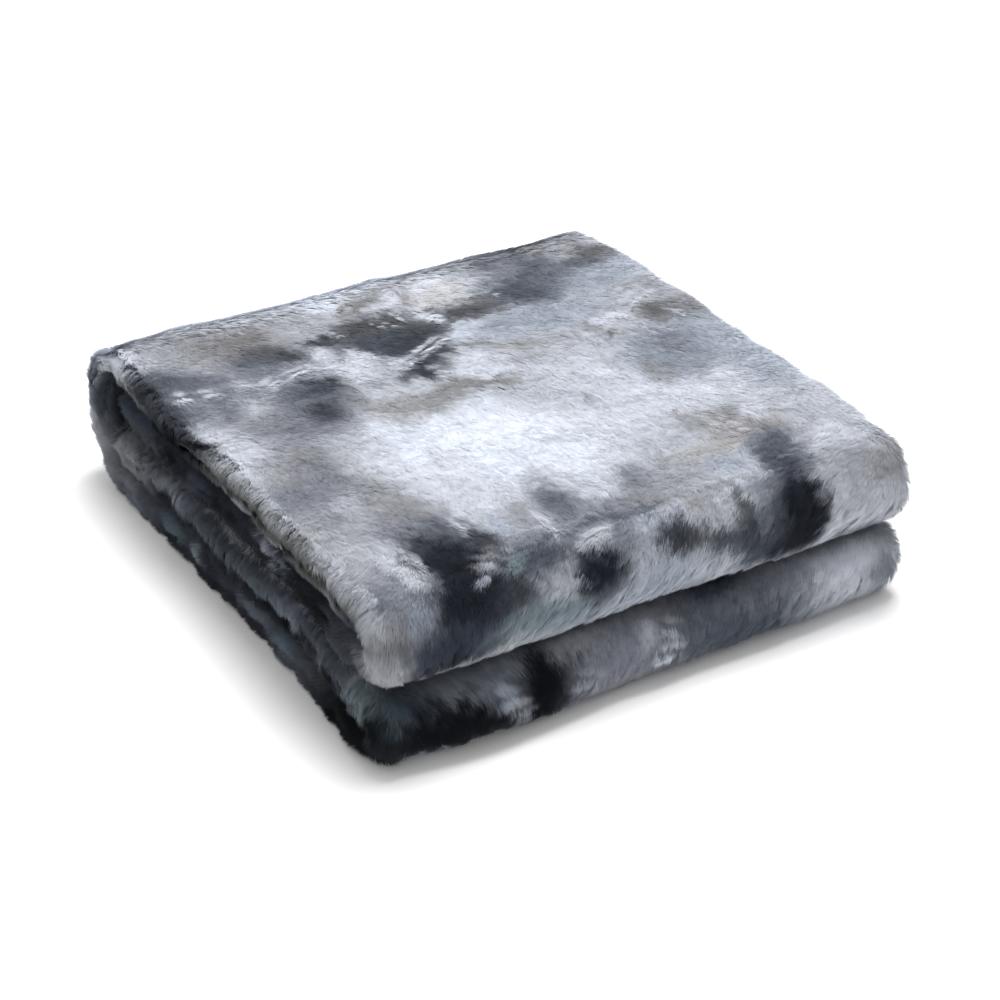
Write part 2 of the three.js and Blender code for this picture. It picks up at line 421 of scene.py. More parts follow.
PATCHES = [  # across, along, long, wide, shade, softness and strength in tenths, turn if it has one
    (0, 620, 300, 260, "ash", 2, 10),
    # A painted highlight: the ice row along the back edge, where the top turns down into the spine.
    (-40, 866, 130, 14, "ice", 6, 10),
    (-105, 854, 38, 8, "pearl", 8, 9),
    (-150, 834, 50, 22, "dove", 8, 10),
    (-192, 838, 16, 22, "pearl", 8, 10),
    (-116, 822, 30, 16, "stone", 8, 10, 8),
    (-125, 800, 30, 16, "mid", 8, 8),
    (-100, 795, 26, 14, "graphite", 6, 9),
    (-88, 786, 13, 8, "charcoal", 6, 8),
    (-118, 786, 15, 9, "slate", 8, 9),
    (-78, 800, 7, 14, "dove", 8, 8),
    (-145, 771, 60, 10, "fog", 7, 9),
    (-182, 786, 17, 24, "slate", 6, 10),
    (-194, 782, 9, 30, "charcoal", 7, 9),
    (-165, 780, 20, 12, "steel", 8, 8),
    (-190, 742, 13, 26, "charcoal", 5, 10),
    (-165, 735, 20, 18, "fog", 8, 9),
    (-150, 752, 34, 12, "fog", 7, 9),
    (-98, 760, 28, 8, "mist", 8, 8),
    (-140, 728, 10, 20, "ash", 8, 8),
    (-100, 734, 26, 15, "slate", 6, 10),
    (-86, 731, 12, 10, "charcoal", 7, 9),
    (-94, 714, 24, 14, "slate", 8, 8),
    (-124, 714, 14, 14, "steel", 8, 8),
    (-148, 705, 22, 14, "mid", 8, 9),
    (-125, 688, 34, 20, "fog", 8, 9),
    (-106, 699, 12, 13, "charcoal", 6, 9, 80),
    (-82, 701, 9, 12, "mid", 8, 8),
    (-184, 690, 14, 42, "pearl", 6, 10),
    (-68, 710, 10, 26, "ash", 7, 10),
    (-66, 742, 12, 18, "pearl", 6, 9),
    (-71, 772, 6, 16, "pearl", 7, 9),
    (-55, 779, 9, 7, "steel", 8, 8),
    (-62, 824, 16, 14, "dove", 9, 8),
    (-38, 846, 16, 9, "ice", 7, 10),
    (-14, 831, 24, 7, "stone", 7, 9, 25),
    (-32, 817, 20, 4, "ash", 8, 8),
    (44, 824, 28, 24, "cream", 6, 10, 20),
    (40, 838, 22, 6, "ice", 8, 9, 20),
    (5, 822, 16, 8, "pearl", 6, 10, 15),
    (20, 820, 20, 4, "mid", 8, 8, 62),
    (24, 806, 9, 9, "cream", 7, 9),
    (46, 780, 34, 14, "graphite", 6, 10),
    (70, 792, 14, 10, "pewter", 8, 8),
    (-22, 785, 34, 30, "graphite", 3.5, 10),
    (-61, 797, 12, 10, "charcoal", 5, 9),
    (-26, 768, 28, 15, "lead", 6, 10),
    (-12, 751, 28, 15, "charcoal", 6, 9),
    (12, 768, 14, 12, "charcoal", 7, 7),
    (-52, 757, 8, 16, "pearl", 5, 10),
    (-17, 717, 26, 12, "charcoal", 5, 10, 15),
    (-2, 730, 12, 9, "charcoal", 5, 10, 20),
    (-38, 742, 3, 11, "ash", 6, 9),
    (28, 752, 19, 9, "ice", 3.5, 10, 38),
    (85, 742, 58, 24, "haze", 7, 10),
    (24, 728, 16, 4, "mid", 7, 9, -38),
    (106, 840, 24, 16, "fog", 7, 9),
    (114, 794, 36, 26, "slate", 6, 10),
    (96, 817, 14, 9, "fog", 8, 8),
    (106, 782, 24, 15, "lead", 8, 9),
    (127, 826, 12, 15, "slate", 7, 9),
    (158, 842, 32, 14, "dove", 8, 9),
    (165, 828, 24, 8, "mid", 9, 8),
    (160, 776, 36, 20, "haze", 7, 10),
    (152, 801, 40, 12, "steel", 7, 10, 10),
    (178, 813, 16, 12, "pewter", 8, 9),
    (12, 712, 20, 12, "pearl", 6, 9, -15),
    (52, 710, 20, 8, "warm", 8, 7, -10),
    (88, 705, 12, 7, "dove", 8, 8),
    (144, 716, 15, 12, "dove", 8, 9),
    (122, 711, 15, 6, "pearl", 6, 9),
    (107, 712, 3, 9, "warm", 6, 8),
    (161, 703, 13, 14, "pewter", 8, 10),
    (176, 738, 18, 16, "dove", 8, 8),
    (178, 694, 16, 20, "pewter", 8, 9),
    (-150, 636, 22, 30, "mid", 8, 9, 20),
    (-150, 634, 14, 12, "fog", 8, 6),
    (-176, 622, 16, 12, "mid", 8, 8),
    (-155, 606, 34, 13, "fog", 8, 8),
    (-182, 593, 16, 19, "steel", 8, 9),
    (-122, 602, 16, 14, "mid", 8, 8),
    (-36, 671, 28, 13, "stone", 7, 9, 8),
    (-66, 672, 15, 18, "warm", 8, 9),
    (-12, 688, 14, 9, "stone", 7, 8, -10),
    (12, 674, 18, 6, "stone", 7, 8, -30),
    (20, 692, 26, 7, "pearl", 6, 10, -22),
    (40, 690, 14, 6, "dove", 8, 7),
    (115, 690, 14, 10, "dove", 8, 7),
    (87, 660, 8, 7, "dove", 8, 7),
    (-50, 608, 66, 52, "ice", 6, 10),
    (-10, 568, 52, 40, "ice", 6, 9),
    (-88, 575, 30, 30, "pearl", 7, 9),
    (-86, 660, 10, 14, "ice", 8, 9),
    (-15, 655, 11, 16, "ice", 6, 9),
    (-30, 610, 48, 24, "snow", 9, 10),
    (-66, 602, 14, 6, "pearl", 8, 9),
    (-30, 552, 16, 10, "ash", 8, 7),
    (82, 635, 40, 40, "pearl", 8, 9),
    (40, 640, 4, 26, "ash", 8, 9, 18),
    (52, 612, 7, 9, "dove", 8, 8),
    (64, 606, 8, 10, "ash", 9, 8),
    (92, 592, 74, 20, "pearl", 7, 10),
    (176, 590, 18, 34, "haze", 8, 9),
    (145, 650, 42, 34, "mist", 6, 9),
    (150, 661, 22, 9, "fog", 9, 7, -10),
    (115, 632, 10, 12, "mid", 8, 8),
    (180, 645, 14, 46, "haze", 8, 9),
    (-180, 560, 16, 32, "dove", 7, 10),
    (-176, 505, 14, 44, "dove", 6, 10),
    (-170, 528, 8, 16, "ash", 8, 9),
    (-162, 562, 18, 16, "dove", 8, 8),
    (-130, 562, 16, 26, "mid", 8, 9),
    (-116, 548, 10, 20, "mid", 9, 8),
    (-135, 538, 22, 12, "fog", 8, 9),
    (-118, 516, 9, 22, "slate", 7, 9),
    (-134, 500, 16, 32, "charcoal", 4, 10, 5),
    (-122, 480, 20, 26, "ink", 5, 10),
    (-158, 500, 5, 30, "ash", 7, 9, 8),
    (-166, 484, 4, 22, "fog", 8, 9, 12),
    (-178, 466, 12, 16, "steel", 8, 9, 20),
    (-100, 498, 11, 26, "charcoal", 6, 9, 8),
    (-104, 524, 5, 16, "mist", 8, 9),
    (-75, 540, 24, 10, "pearl", 9, 8),
    (-79, 502, 10, 24, "haze", 6, 9),
    (-62, 506, 8, 22, "dove", 8, 9),
    (-37, 512, 13, 28, "steel", 7, 10),
    (-10, 522, 12, 18, "pearl", 8, 8),
    (-2, 488, 24, 15, "fog", 9, 9),
    (25, 516, 14, 15, "fog", 8, 9),
    (24, 490, 22, 14, "mid", 9, 8),
    (52, 505, 18, 26, "dove", 9, 8),
    (86, 498, 17, 22, "haze", 7, 9),
    (92, 524, 26, 11, "sand", 8, 8),
    (108, 557, 22, 9, "mid", 8, 9),
    (111, 540, 15, 14, "warm", 6, 9),
    (95, 574, 7, 4, "warm", 7, 8, 45),
    (131, 550, 9, 10, "pearl", 5, 10, -20),
    (136, 530, 14, 10, "warm", 8, 9),
    (127, 498, 19, 28, "slate", 5, 10),
    (116, 484, 13, 13, "lead", 7, 8),
    (126, 468, 15, 11, "coal_blue", 8, 9),
    (155, 512, 8, 22, "dove", 8, 9, -20),
    (177, 515, 18, 44, "ash", 6, 10),
    (-66, 480, 20, 9, "fog", 8, 8),
    (-68, 460, 32, 14, "lead", 7, 10),
    (-28, 475, 20, 8, "slate", 7, 10),
    (-14, 460, 13, 16, "steel", 8, 9),
    (-125, 447, 38, 25, "ink", 5, 10),
    (-95, 437, 20, 11, "charcoal", 8, 9),
    (-163, 449, 13, 8, "mist", 6, 10, 30),
    (-182, 436, 9, 14, "pewter", 8, 9),
    (-140, 420, 44, 14, "coal_blue", 6, 10),
    (-150, 404, 36, 8, "ink", 7, 9),
    (-182, 412, 8, 12, "mid", 8, 9),
    (-72, 415, 46, 12, "teal", 6, 10),
    (-58, 409, 20, 8, "mist", 8, 9),
    (4, 418, 42, 20, "haze", 6, 10),
    (-37, 437, 16, 18, "ink", 6, 10, -10),
    (5, 475, 14, 7, "steel", 8, 9),
    (12, 461, 20, 6, "haze", 7, 10),
    (42, 438, 26, 8, "graphite", 7, 9, -15),
    (22, 446, 19, 10, "charcoal", 6, 10),
    (52, 455, 14, 8, "dove", 7, 9, -30),
    (50, 470, 22, 6, "mid", 8, 8),
    (84, 416, 17, 15, "lead", 7, 10),
    (58, 428, 14, 8, "lead", 7, 10, -20),
    (78, 437, 9, 15, "charcoal", 7, 10, 10),
    (73, 454, 5, 14, "graphite", 7, 9),
    (94, 440, 11, 12, "slate", 8, 9),
    (100, 462, 17, 8, "steel", 8, 9),
    (160, 426, 34, 24, "ash", 7, 10),
    (117, 430, 19, 31, "ink", 4, 10),
    (98, 408, 12, 12, "ink", 8, 9),
    (162, 460, 26, 16, "dove", 7, 9),
    (184, 456, 10, 16, "mid", 8, 10),
    (166, 400, 16, 5, "fog", 8, 9),
    # The lower fold. Its soot rows are dark dye and also painted shade where the fold comes down to the
    # floor.
    (0, 1450, 260, 48, "fog", 2, 10),
    (-190, 1460, 18, 24, "petrol", 6, 10),
    (-172, 1458, 12, 16, "coal_blue", 8, 9),
    (-135, 1470, 34, 8, "steel", 8, 10),
    (-150, 1435, 52, 20, "soot", 5, 10),
    (-114, 1450, 12, 10, "slate", 8, 10),
    (-70, 1443, 13, 20, "charcoal", 9, 9),
    (-88, 1440, 18, 30, "soot", 5, 10),
    (-56, 1466, 24, 9, "dove", 8, 10),
    (-30, 1438, 34, 16, "fog", 8, 9),
    (-22, 1422, 26, 7, "mid", 8, 8),
    (-8, 1454, 9, 9, "ash", 7, 9),
    (10, 1440, 16, 12, "steel", 8, 9),
    (6, 1466, 18, 8, "mid", 8, 9),
    (50, 1469, 28, 8, "coal_blue", 8, 9),
    (38, 1452, 22, 10, "slate", 8, 9),
    (64, 1432, 46, 18, "lead", 7, 10),
    (78, 1458, 14, 9, "steel", 8, 8),
    (108, 1442, 16, 14, "steel", 8, 9),
    (156, 1446, 38, 28, "ash", 7, 10),
    (150, 1456, 22, 10, "pearl", 8, 9),
    (182, 1438, 12, 8, "fog", 8, 9),
]
FLECKS = [  # the same, for icy flecks and the lines where the pile has parted
    (-178, 762, 6, 2.5, "ice", 6, 9),
    (-161, 758, 7, 2.5, "pearl", 6, 9, -15),
    (-136, 757, 9, 4, "pearl", 8, 7, -5),
    (-119, 750, 7, 3, "pearl", 6, 9, 40),
    (-100, 754, 9, 1.8, "ice", 6, 9, 15),
    (-88, 757, 6, 1.6, "ice", 6, 9),
    (-76, 750, 10, 5, "pearl", 8, 8, -20),
    (-46, 791, 3, 1.6, "ash", 5, 9),
    (-17, 788, 2, 3, "ash", 5, 9),
    (-7, 785, 3, 1.6, "ash", 5, 8, -30),
    (4, 795, 1.5, 4, "pearl", 5, 9),
    (18, 797, 2, 4, "pearl", 5, 9),
    (22, 780, 6, 4, "ice", 4, 10),
    (24, 773, 3, 3, "ice", 5, 9),
    (60, 799, 6, 2.5, "pearl", 6, 8, 20),
    (82, 790, 3, 1.5, "ash", 5, 8, 20),
    (-36, 719, 3, 3, "pearl", 5, 10),
    (-25, 724, 8, 2.5, "ice", 5, 10, 25),
    (-8, 734, 9, 2.2, "ice", 5, 10, 32),
    (6, 741, 7, 2.5, "pearl", 5, 10, 15),
    (-15, 703, 5, 2.5, "pearl", 7, 8),
    (136, 706, 6, 2, "ice", 6, 9, -15),
    (158, 722, 16, 2, "pearl", 8, 7, 30),
    (174, 685, 8, 2, "pearl", 7, 8, -50),
    (102, 690, 3, 8, "pearl", 8, 7),
    (116, 692, 5, 1.4, "warm", 6, 8, 50),
    (-76, 597, 1.5, 6, "ash", 8, 6),
    (-147, 490, 2.5, 10, "ash", 7, 8),
    (-150, 503, 2, 4, "pearl", 6, 7),
    (-105, 517, 1.8, 9, "pearl", 8, 7),
    (-57, 488, 2.6, 16, "ice", 7, 8),
    (-107, 463, 10, 3, "dove", 9, 8, -35),
    (-114, 455, 5, 2.5, "haze", 6, 8),
    (-104, 472, 4, 3, "mid", 8, 7),
    (-92, 456, 7, 5, "teal", 6, 9),
    (-34, 460, 12, 5, "ash", 6, 9, 10),
    (-44, 458, 3, 4, "ash", 6, 8),
    (-60, 446, 2.5, 8, "mid", 8, 8),
    (-52, 475, 4, 4, "dove", 8, 7),
    (102, 545, 3, 5, "cream", 7, 8),
    (112, 541, 4, 3, "cream", 7, 7),
    (116, 528, 4, 3, "cream", 7, 8),
    (106, 530, 3, 3, "ash", 7, 7),
    (152, 516, 4, 10, "ash", 8, 7, 20),
    (125, 481, 5, 2, "mid", 8, 6),
    (-116, 1441, 8, 3, "haze", 7, 8, -10),
    (-107, 1432, 7, 2.5, "dove", 7, 8, -15),
    (-104, 1424, 6, 2.5, "fog", 7, 8, -10),
    (-55, 1432, 12, 2.5, "dove", 8, 7, -20),
    (4, 1430, 9, 2.5, "pearl", 7, 8, -10),
    (8, 1447, 8, 2, "ash", 7, 7, -20),
]
# The left end: dye, with painted shade in the dark rows along its grooves and the gaps between layers.
LEFT_RIM = [  # along, level (outer face 15, groove 0, inner face -15), long, high, shade, softness in tenths
    (180, 0, 200, 24, "ink", 3),
    (300, 0, 70, 14, "soot", 8),
    (10, 3, 45, 18, "charcoal", 6),
    (20, -10, 35, 9, "coal_blue", 7),
    (85, 10, 45, 8, "charcoal", 7),
    (88, -4, 22, 7, "soot", 6),
    (132, -7, 12, 6, "coal_blue", 7),
    (165, -3, 16, 8, "soot", 6),
    (232, -9, 9, 6, "fog", 6),
    (255, -6, 16, 5, "steel", 7),
    (241, 4, 9, 3, "slate", 6),
    (345, 9, 24, 8, "lead", 7),
    (345, -6, 30, 8, "charcoal", 7),
    (400, 4, 26, 22, "dove", 5),
    (590, 22, 110, 12, "ash", 5),
    (480, 20, 40, 12, "ash", 5),
    (590, 4, 140, 9, "moss", 4),
    (590, -8, 130, 8, "graphite", 4),
    (475, -7, 18, 9, "coal_blue", 7),
    (515, -4, 12, 5, "fog", 8),
    (587, -8, 10, 6, "mid", 7),
    (645, -6, 16, 5, "mid", 7),
    (748, 15, 58, 15, "charcoal", 4),
    (745, 6, 35, 5, "soot", 7),
    (735, -7, 50, 10, "soot", 4),
    (815, -8, 25, 8, "moss", 6),
    (868, 8, 50, 18, "ice", 6),
    (925, 2, 40, 16, "ash", 6),
    (965, 2, 24, 16, "dove", 7),
    (993, 4, 18, 16, "mid", 7),
    (1012, 3, 12, 12, "fog", 8),
    (885, -15, 30, 6, "graphite", 6),
    (925, -15, 25, 6, "slate", 6),
    (1200, 0, 190, 24, "charcoal", 3),
    (1045, 4, 20, 10, "slate", 7),
    (1105, 0, 20, 14, "ink", 6),
    (1160, 0, 30, 14, "ink", 6),
    (1220, -2, 30, 12, "ink", 7),
    (1105, -13, 18, 5, "petrol", 7),
    (1147, -12, 10, 5, "teal", 7),
    (1235, -12, 20, 5, "slate", 7),
    (1275, -9, 14, 8, "petrol", 7),
    (1380, 0, 60, 24, "soot", 4),
    (1650, 0, 200, 24, "charcoal", 3),
    (1610, 11, 70, 7, "slate", 7),
    (1700, 12, 60, 6, "lead", 7),
    (1650, -8, 170, 9, "ink", 4),
    (1560, -12, 60, 6, "soot", 8),
    (1773, 7, 18, 4, "soot", 6),
    (1830, 6, 36, 12, "mid", 7),
    (1765, 13, 30, 5, "fog", 8),
    (1520, 12, 20, 7, "slate", 7),
    (1580, 10, 14, 6, "steel", 8),
    (1450, -3, 18, 15, "soot", 6),
    (1477, 8, 12, 13, "teal", 7),
    (1497, -3, 7, 8, "teal", 7),
    (1540, -7, 8, 6, "teal", 7),
    (1517, 0, 10, 10, "soot", 6),
]
LEFT_RIM_TO, LEFT_RIM_FADES = 0.020, 0.008
RIM_LEVEL = 15  # the outer face's level in LEFT_RIM
MM = 1000
RAGGED = [(0.014, 2.6, 22), (0.006, 2.2, 23), (0.0025, 1.2, 24)]  # size, reach in mm, seed
ALONG_SEED = 100  # added to the seed of the wander along
DRAWN_OUT = 2.2
STREAKS = [(0.0020, 0.06, 26), (0.0055, 0.05, 27)]  # width, contrast, seed
STREAK_LENGTH = 5  # in widths
STREAKS_UP_TO = 1.3
GROUND = ["charcoal", "slate", "mid", "ash", "pearl"]
DRIFTS = [(0.11, 0.65), (0.045, 0.35)]  # size, share
DRIFT_FROM, DRIFT_OVER = 0.25, 0.5
OUTER_SEED, INNER_SEED = 31, 61


def shade(name):
    """A named shade as shares of white."""
    return np.array(SHADES[name]) / 255


def linear(share):
    """The light that a shade sends back, from its share of white by the usual 2.4 power curve."""
    return np.where(share <= 0.04045, share / 12.92, ((np.maximum(share, 0) + 0.055) / 1.055) ** 2.4)


def ground(across, along, seed):
    """The dye that no patch covers: noise that drifts through five shades, dark to light."""
    drift = sum(cloud(along, across, size, seed + k) * share for k, (size, share) in enumerate(DRIFTS))
    place = np.clip((drift - DRIFT_FROM) / DRIFT_OVER, 0, 1) * (len(GROUND) - 1)
    tones = np.array([shade(name) for name in GROUND])
    return np.stack([np.interp(place, np.arange(len(GROUND)), tones[:, k]) for k in range(3)], axis=-1)


def wandered(across, along, rows, drawn_out, sway):
    """Places in millimetres, each moved by noise for every row, drawn out along the pile."""
    x, y = across * MM, along * MM
    for size, reach, seed in rows:
        x = x + reach * sway * (cloud(along / drawn_out, across, size, seed) - 0.5)
        y = y + reach * sway * (cloud(along / drawn_out, across, size, seed + ALONG_SEED) - 0.5)
    return x, y


def share_of(patch, x, y):
    """How much of a patch lies at a place: an ellipse that fades over its softness from full to nothing."""
    at_x, at_y, long, wide, _, softness, strength, *turn = patch
    angle = math.radians(sum(turn))
    u = ((x - at_x) * math.cos(angle) + (y - at_y) * math.sin(angle)) / long
    v = ((y - at_y) * math.cos(angle) - (x - at_x) * math.sin(angle)) / wide
    far = np.sqrt(u * u + v * v)
    softness = softness / 10
    return strength / 10 * (1 - eased((far - 1 + softness) / (2 * softness)))


def lay_patches(colour, x, y, patches):
    """Each patch over the last: the colour moves to the patch's shade by its share."""
    for patch in patches:
        colour += share_of(patch, x, y)[..., None] * (shade(patch[4]) - colour)


def frosted(colour, across, along, outer):
    """The flecks over a dye, laid as patches are. Their fibres are pulled up short, so the largest
    share at each place comes back for the pile."""
    x, y = wandered(across, along, RAGGED[1:], 1, 1)
    most = np.zeros(np.shape(across))
    for patch in FLECKS:
        share = share_of(patch, x, y) * outer
        colour += share[..., None] * (linear(shade(patch[4])) - colour)
        most = np.maximum(most, share)
    return most


def coloured(across, along, level):
    """The colour at places on the sheet, in metres, where the level falls from 1 on the outer face to
    -1 on the inner one. Each face has its own ground; the patches' edges wander with noise drawn out
    along the pile; the left rim's patches come next, dye with painted shade in its grooves and gaps;
    and fine streaks run along, less where it is light. Some patches are painted shade or highlight."""
    outer_share = eased(0.5 + level)[..., None]
    colour = ground(across, along, OUTER_SEED) * outer_share
    colour = colour + ground(across, along, INNER_SEED) * (1 - outer_share)
    x, y = wandered(across, along, RAGGED, DRAWN_OUT, 2)
    face = colour.copy()
    lay_patches(face, x, y, PATCHES)
    colour += outer_share * (face - colour)
    from_left_end = across - np.interp(along, way["skin"], edge(-1))
    on_left = eased((LEFT_RIM_TO - from_left_end) / LEFT_RIM_FADES)
    rim = colour.copy()
    rim_patches = [(*row, 10) for row in LEFT_RIM]
    lay_patches(rim, y, level * RIM_LEVEL + (x - across * MM) / 2, rim_patches)
    colour += on_left[..., None] * (rim - colour)
    for width, contrast, seed in STREAKS:
        streak = cloud(along / STREAK_LENGTH, across, width, seed) - 0.5
        light = colour.mean(axis=-1)
        colour = colour * (1 + streak * 2 * contrast * (STREAKS_UP_TO - light))[..., None]
    return linear(colour.clip(0, 1))


def mesh_piece(name, points, faces, colours, material):
    """An object at the origin from points, faces of three or four corners and a dye for each point."""
    corners = faces.shape[1]
    mesh = bpy.data.meshes.new(name)
    mesh.vertices.add(len(points))
    mesh.vertices.foreach_set("co", points.astype(np.float32).ravel())
    mesh.loops.add(faces.size)
    mesh.loops.foreach_set("vertex_index", faces.astype(np.int32).ravel())
    mesh.polygons.add(len(faces))
    mesh.polygons.foreach_set("loop_start", np.arange(0, faces.size, corners, dtype=np.int32))
    mesh.update(calc_edges=True)
    # The point colours: dye, with painted shade and a painted highlight in places.
    dye_and_painted_light = mesh.color_attributes.new("dye_and_painted_light", "FLOAT_COLOR", "POINT")
    rgba = np.concatenate([colours, np.ones((len(colours), 1))], axis=1)
    dye_and_painted_light.data.foreach_set("color", rgba.astype(np.float32).ravel())
    mesh.materials.append(material)
    piece = bpy.data.objects.new(name, mesh)
    bpy.context.scene.collection.objects.link(piece)
    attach(piece, "root")
    return piece


class Socket:
    """A shader socket that takes part in Python sums, by Math nodes."""

    def __init__(self, finish, socket):
        self.finish, self.socket = finish, socket

    def __add__(self, other):
        return self.finish.number("ADD", self, other)

    def __mul__(self, other):
        return self.finish.number("MULTIPLY", self, other)

    def __rsub__(self, other):
        return self.finish.number("SUBTRACT", other, self)

    __radd__ = __add__
    __rmul__ = __mul__


class Finish:
    """A material whose nodes are made by one method: type, settings first, then sockets."""

    def __init__(self, name):
        self.material = bpy.data.materials.new(name)
        self.material.use_nodes = True
        self.nodes = self.material.node_tree.nodes
        self.links = self.material.node_tree.links
        self.shader = self.nodes["Principled BSDF"]

    def node(self, kind, settings=None, output=0, **sockets):
        made = self.nodes.new(kind)
        for name, value in (settings or {}).items():
            setattr(made, name, value)
        for name, value in sockets.items():
            self.plug(made.inputs[int(name[1:]) if name[0] == "_" else name.replace("_", " ")], value)
        return Socket(self, made.outputs[output])

    def number(self, operation, first, second):
        return self.node("ShaderNodeMath", {"operation": operation}, _0=first, _1=second)

    def plug(self, socket, value):
        if isinstance(value, Socket):
            self.links.new(value.socket, socket)
        else:
            socket.default_value = value


FIBRE_SCALE, CLUMP_SCALE = 900.0, 160.0
# How far the noise darkens the colour: a mottle, and painted shade where the fibres lie deeper.
MOTTLE_AND_SHADE = 0.24
ROUGH_SPREAD = 0.2


def fleece(name, roughness, sheen, bump_height):
    """Dyed plush: the dye of each point, mottled by fine noise; where the noise is dark the fibres lie
    deeper and matter, so the same noise sets the roughness and the bump, and the darker colour there
    is a painted shade in the hollows. A soft sheen lies over it."""
    finish = Finish(name)
    dye_and_painted_light = finish.node("ShaderNodeVertexColor", {"layer_name": "dye_and_painted_light"})
    places = finish.node("ShaderNodeTexCoord", output="Object")
    fibres = finish.node("ShaderNodeTexNoise", Vector=places, Scale=FIBRE_SCALE, Detail=1.0)
    clumps = finish.node("ShaderNodeTexNoise", Vector=places, Scale=CLUMP_SCALE, Detail=2.0)
    relief = 0.5 * fibres + 0.5 * clumps
    light = MOTTLE_AND_SHADE * relief + (1 - MOTTLE_AND_SHADE / 2)
    grey = finish.node("ShaderNodeCombineColor", Red=light, Green=light, Blue=light)
    mix = {"data_type": "RGBA", "blend_type": "MULTIPLY"}
    colour = finish.node("ShaderNodeMix", mix, output=2, _0=1.0, _6=dye_and_painted_light, _7=grey)
    raised = finish.node("ShaderNodeBump", Strength=0.4, Distance=bump_height, Height=relief)
    finish.plug(finish.shader.inputs["Base Color"], colour)
    finish.plug(finish.shader.inputs["Roughness"], (roughness + ROUGH_SPREAD / 2) - ROUGH_SPREAD * relief)
    finish.plug(finish.shader.inputs["Normal"], raised)
    finish.shader.inputs["Specular IOR Level"].default_value = 0.04
    finish.shader.inputs["Sheen Weight"].default_value = sheen
    finish.shader.inputs["Sheen Roughness"].default_value = 0.5
    return finish.material


# The cloth's faces: rows of four corners round the sheet, and rows across it at its two ends. Its
# colour is the dye darkened by a painted shade, because it lies in the pile's shade.
PILE_SHADE_ON_CLOTH = 0.7
ring_next = (np.arange(RING) + 1) % RING
first = (np.arange(STATIONS - 1) * RING)[:, None]
next_first = first + RING
quads = np.stack(
    [first + np.arange(RING), next_first + np.arange(RING), next_first + ring_next, first + ring_next],
    axis=-1,
).reshape(-1, 4)
half_ring = np.arange(1, RING // 2)
caps = np.stack([half_ring, half_ring + 1, RING - half_ring - 1, RING - half_ring], axis=-1)
caps = caps[caps[:, 1] != caps[:, 2]]
last_ring = (STATIONS - 1) * RING
end_caps = np.concatenate([caps, caps[:, ::-1] + last_ring])
level = np.broadcast_to(ring_half[None, :], skin_run.shape)
cloth = mesh_piece(
    "blanket_cloth",
    cloth_points.reshape(-1, 3),
    np.concatenate([quads, end_caps]),
    coloured(cloth_points[..., 0], skin_run, level).reshape(-1, 3) * PILE_SHADE_ON_CLOTH,
    fleece("fleece_backing", roughness=0.9, sheen=0.03, bump_height=0.0008),
)
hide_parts("blanket")

# The pile. Long fibres of the same yarn are knitted into the cloth and brushed up. They lie towards the
# front over the top and fall down the folds, and the hand that smoothed them has turned them here and
# there. Each strand is one thin face. Places are millimetres as for the dye.
COMBED = [  # across, along, turn towards the right in degrees, reach
    (-94, 820, 20, 60),
    (70, 780, 18, 60),
    (190, 760, 18, 60),
    (-150, 712, 15, 50),
    (-105, 684, 7, 50),
    (-80, 598, -4, 60),
    (62, 609, -4, 60),
    (165, 640, 10, 50),
    (162, 558, 14, 40),
    (-160, 558, 0, 50),
    (40, 495, -16, 40),
    (-60, 520, -5, 50),
    (-190, 480, -60, 30),
    (60, 440, -45, 50),
    (163, 450, -57, 50),
    (-80, 430, -50, 50),
    (-160, 430, -10, 40),
    (-150, 1440, 15, 50),
    (0, 1440, -20, 80),
    (120, 1440, -40, 80),
]
UNCOMBED = 0.02
SKIN_START = float(way["skin"][0])
STEP = float(way["skin"][1]) - SKIN_START


def combed(across, along):
    """The turn of the pile: the mean of COMBED's turns, where each row, and a little of no turn at all,
    counts by a bell curve of its distance."""
    turn, total = np.zeros(np.shape(across)), np.full(np.shape(across), UNCOMBED)
    for at_x, at_y, degrees, reach in COMBED:
        share = np.exp(-((across * MM - at_x) ** 2 + (along * MM - at_y) ** 2) / reach**2)
        turn, total = turn + share * math.radians(degrees), total + share
    return turn / total


closed_rings = np.concatenate([cloth_points, cloth_points[:, :1]], axis=1)
ring_length = np.linalg.norm(np.diff(closed_rings, axis=1), axis=-1)
round_run = np.concatenate([[0.0], np.cumsum(ring_length.mean(axis=0))])
cell_area = ring_length[:-1] * np.linalg.norm(np.diff(cloth_points, axis=0), axis=-1)
LAST_ROW = STATIONS - 1.001


def on_cloth(grid, along, round_ring):
    """A grid's value at distances along and round the sheet: blended from the four points about it."""
    i = np.clip((along - SKIN_START) / STEP, 0, LAST_ROW)
    j = np.interp(round_ring % round_run[-1], round_run, np.arange(RING + 1))
    row, column = i.astype(int), np.minimum(j.astype(int), RING - 1)
    u, v = (i - row)[:, None], (j - column)[:, None]
    beside = (column + 1) % RING
    low = grid[row, column] * (1 - u) + grid[row + 1, column] * u
    high = grid[row, beside] * (1 - u) + grid[row + 1, beside] * u
    return low * (1 - v) + high * v


TUFT_LATTICE = 512
TUFT = 0.006


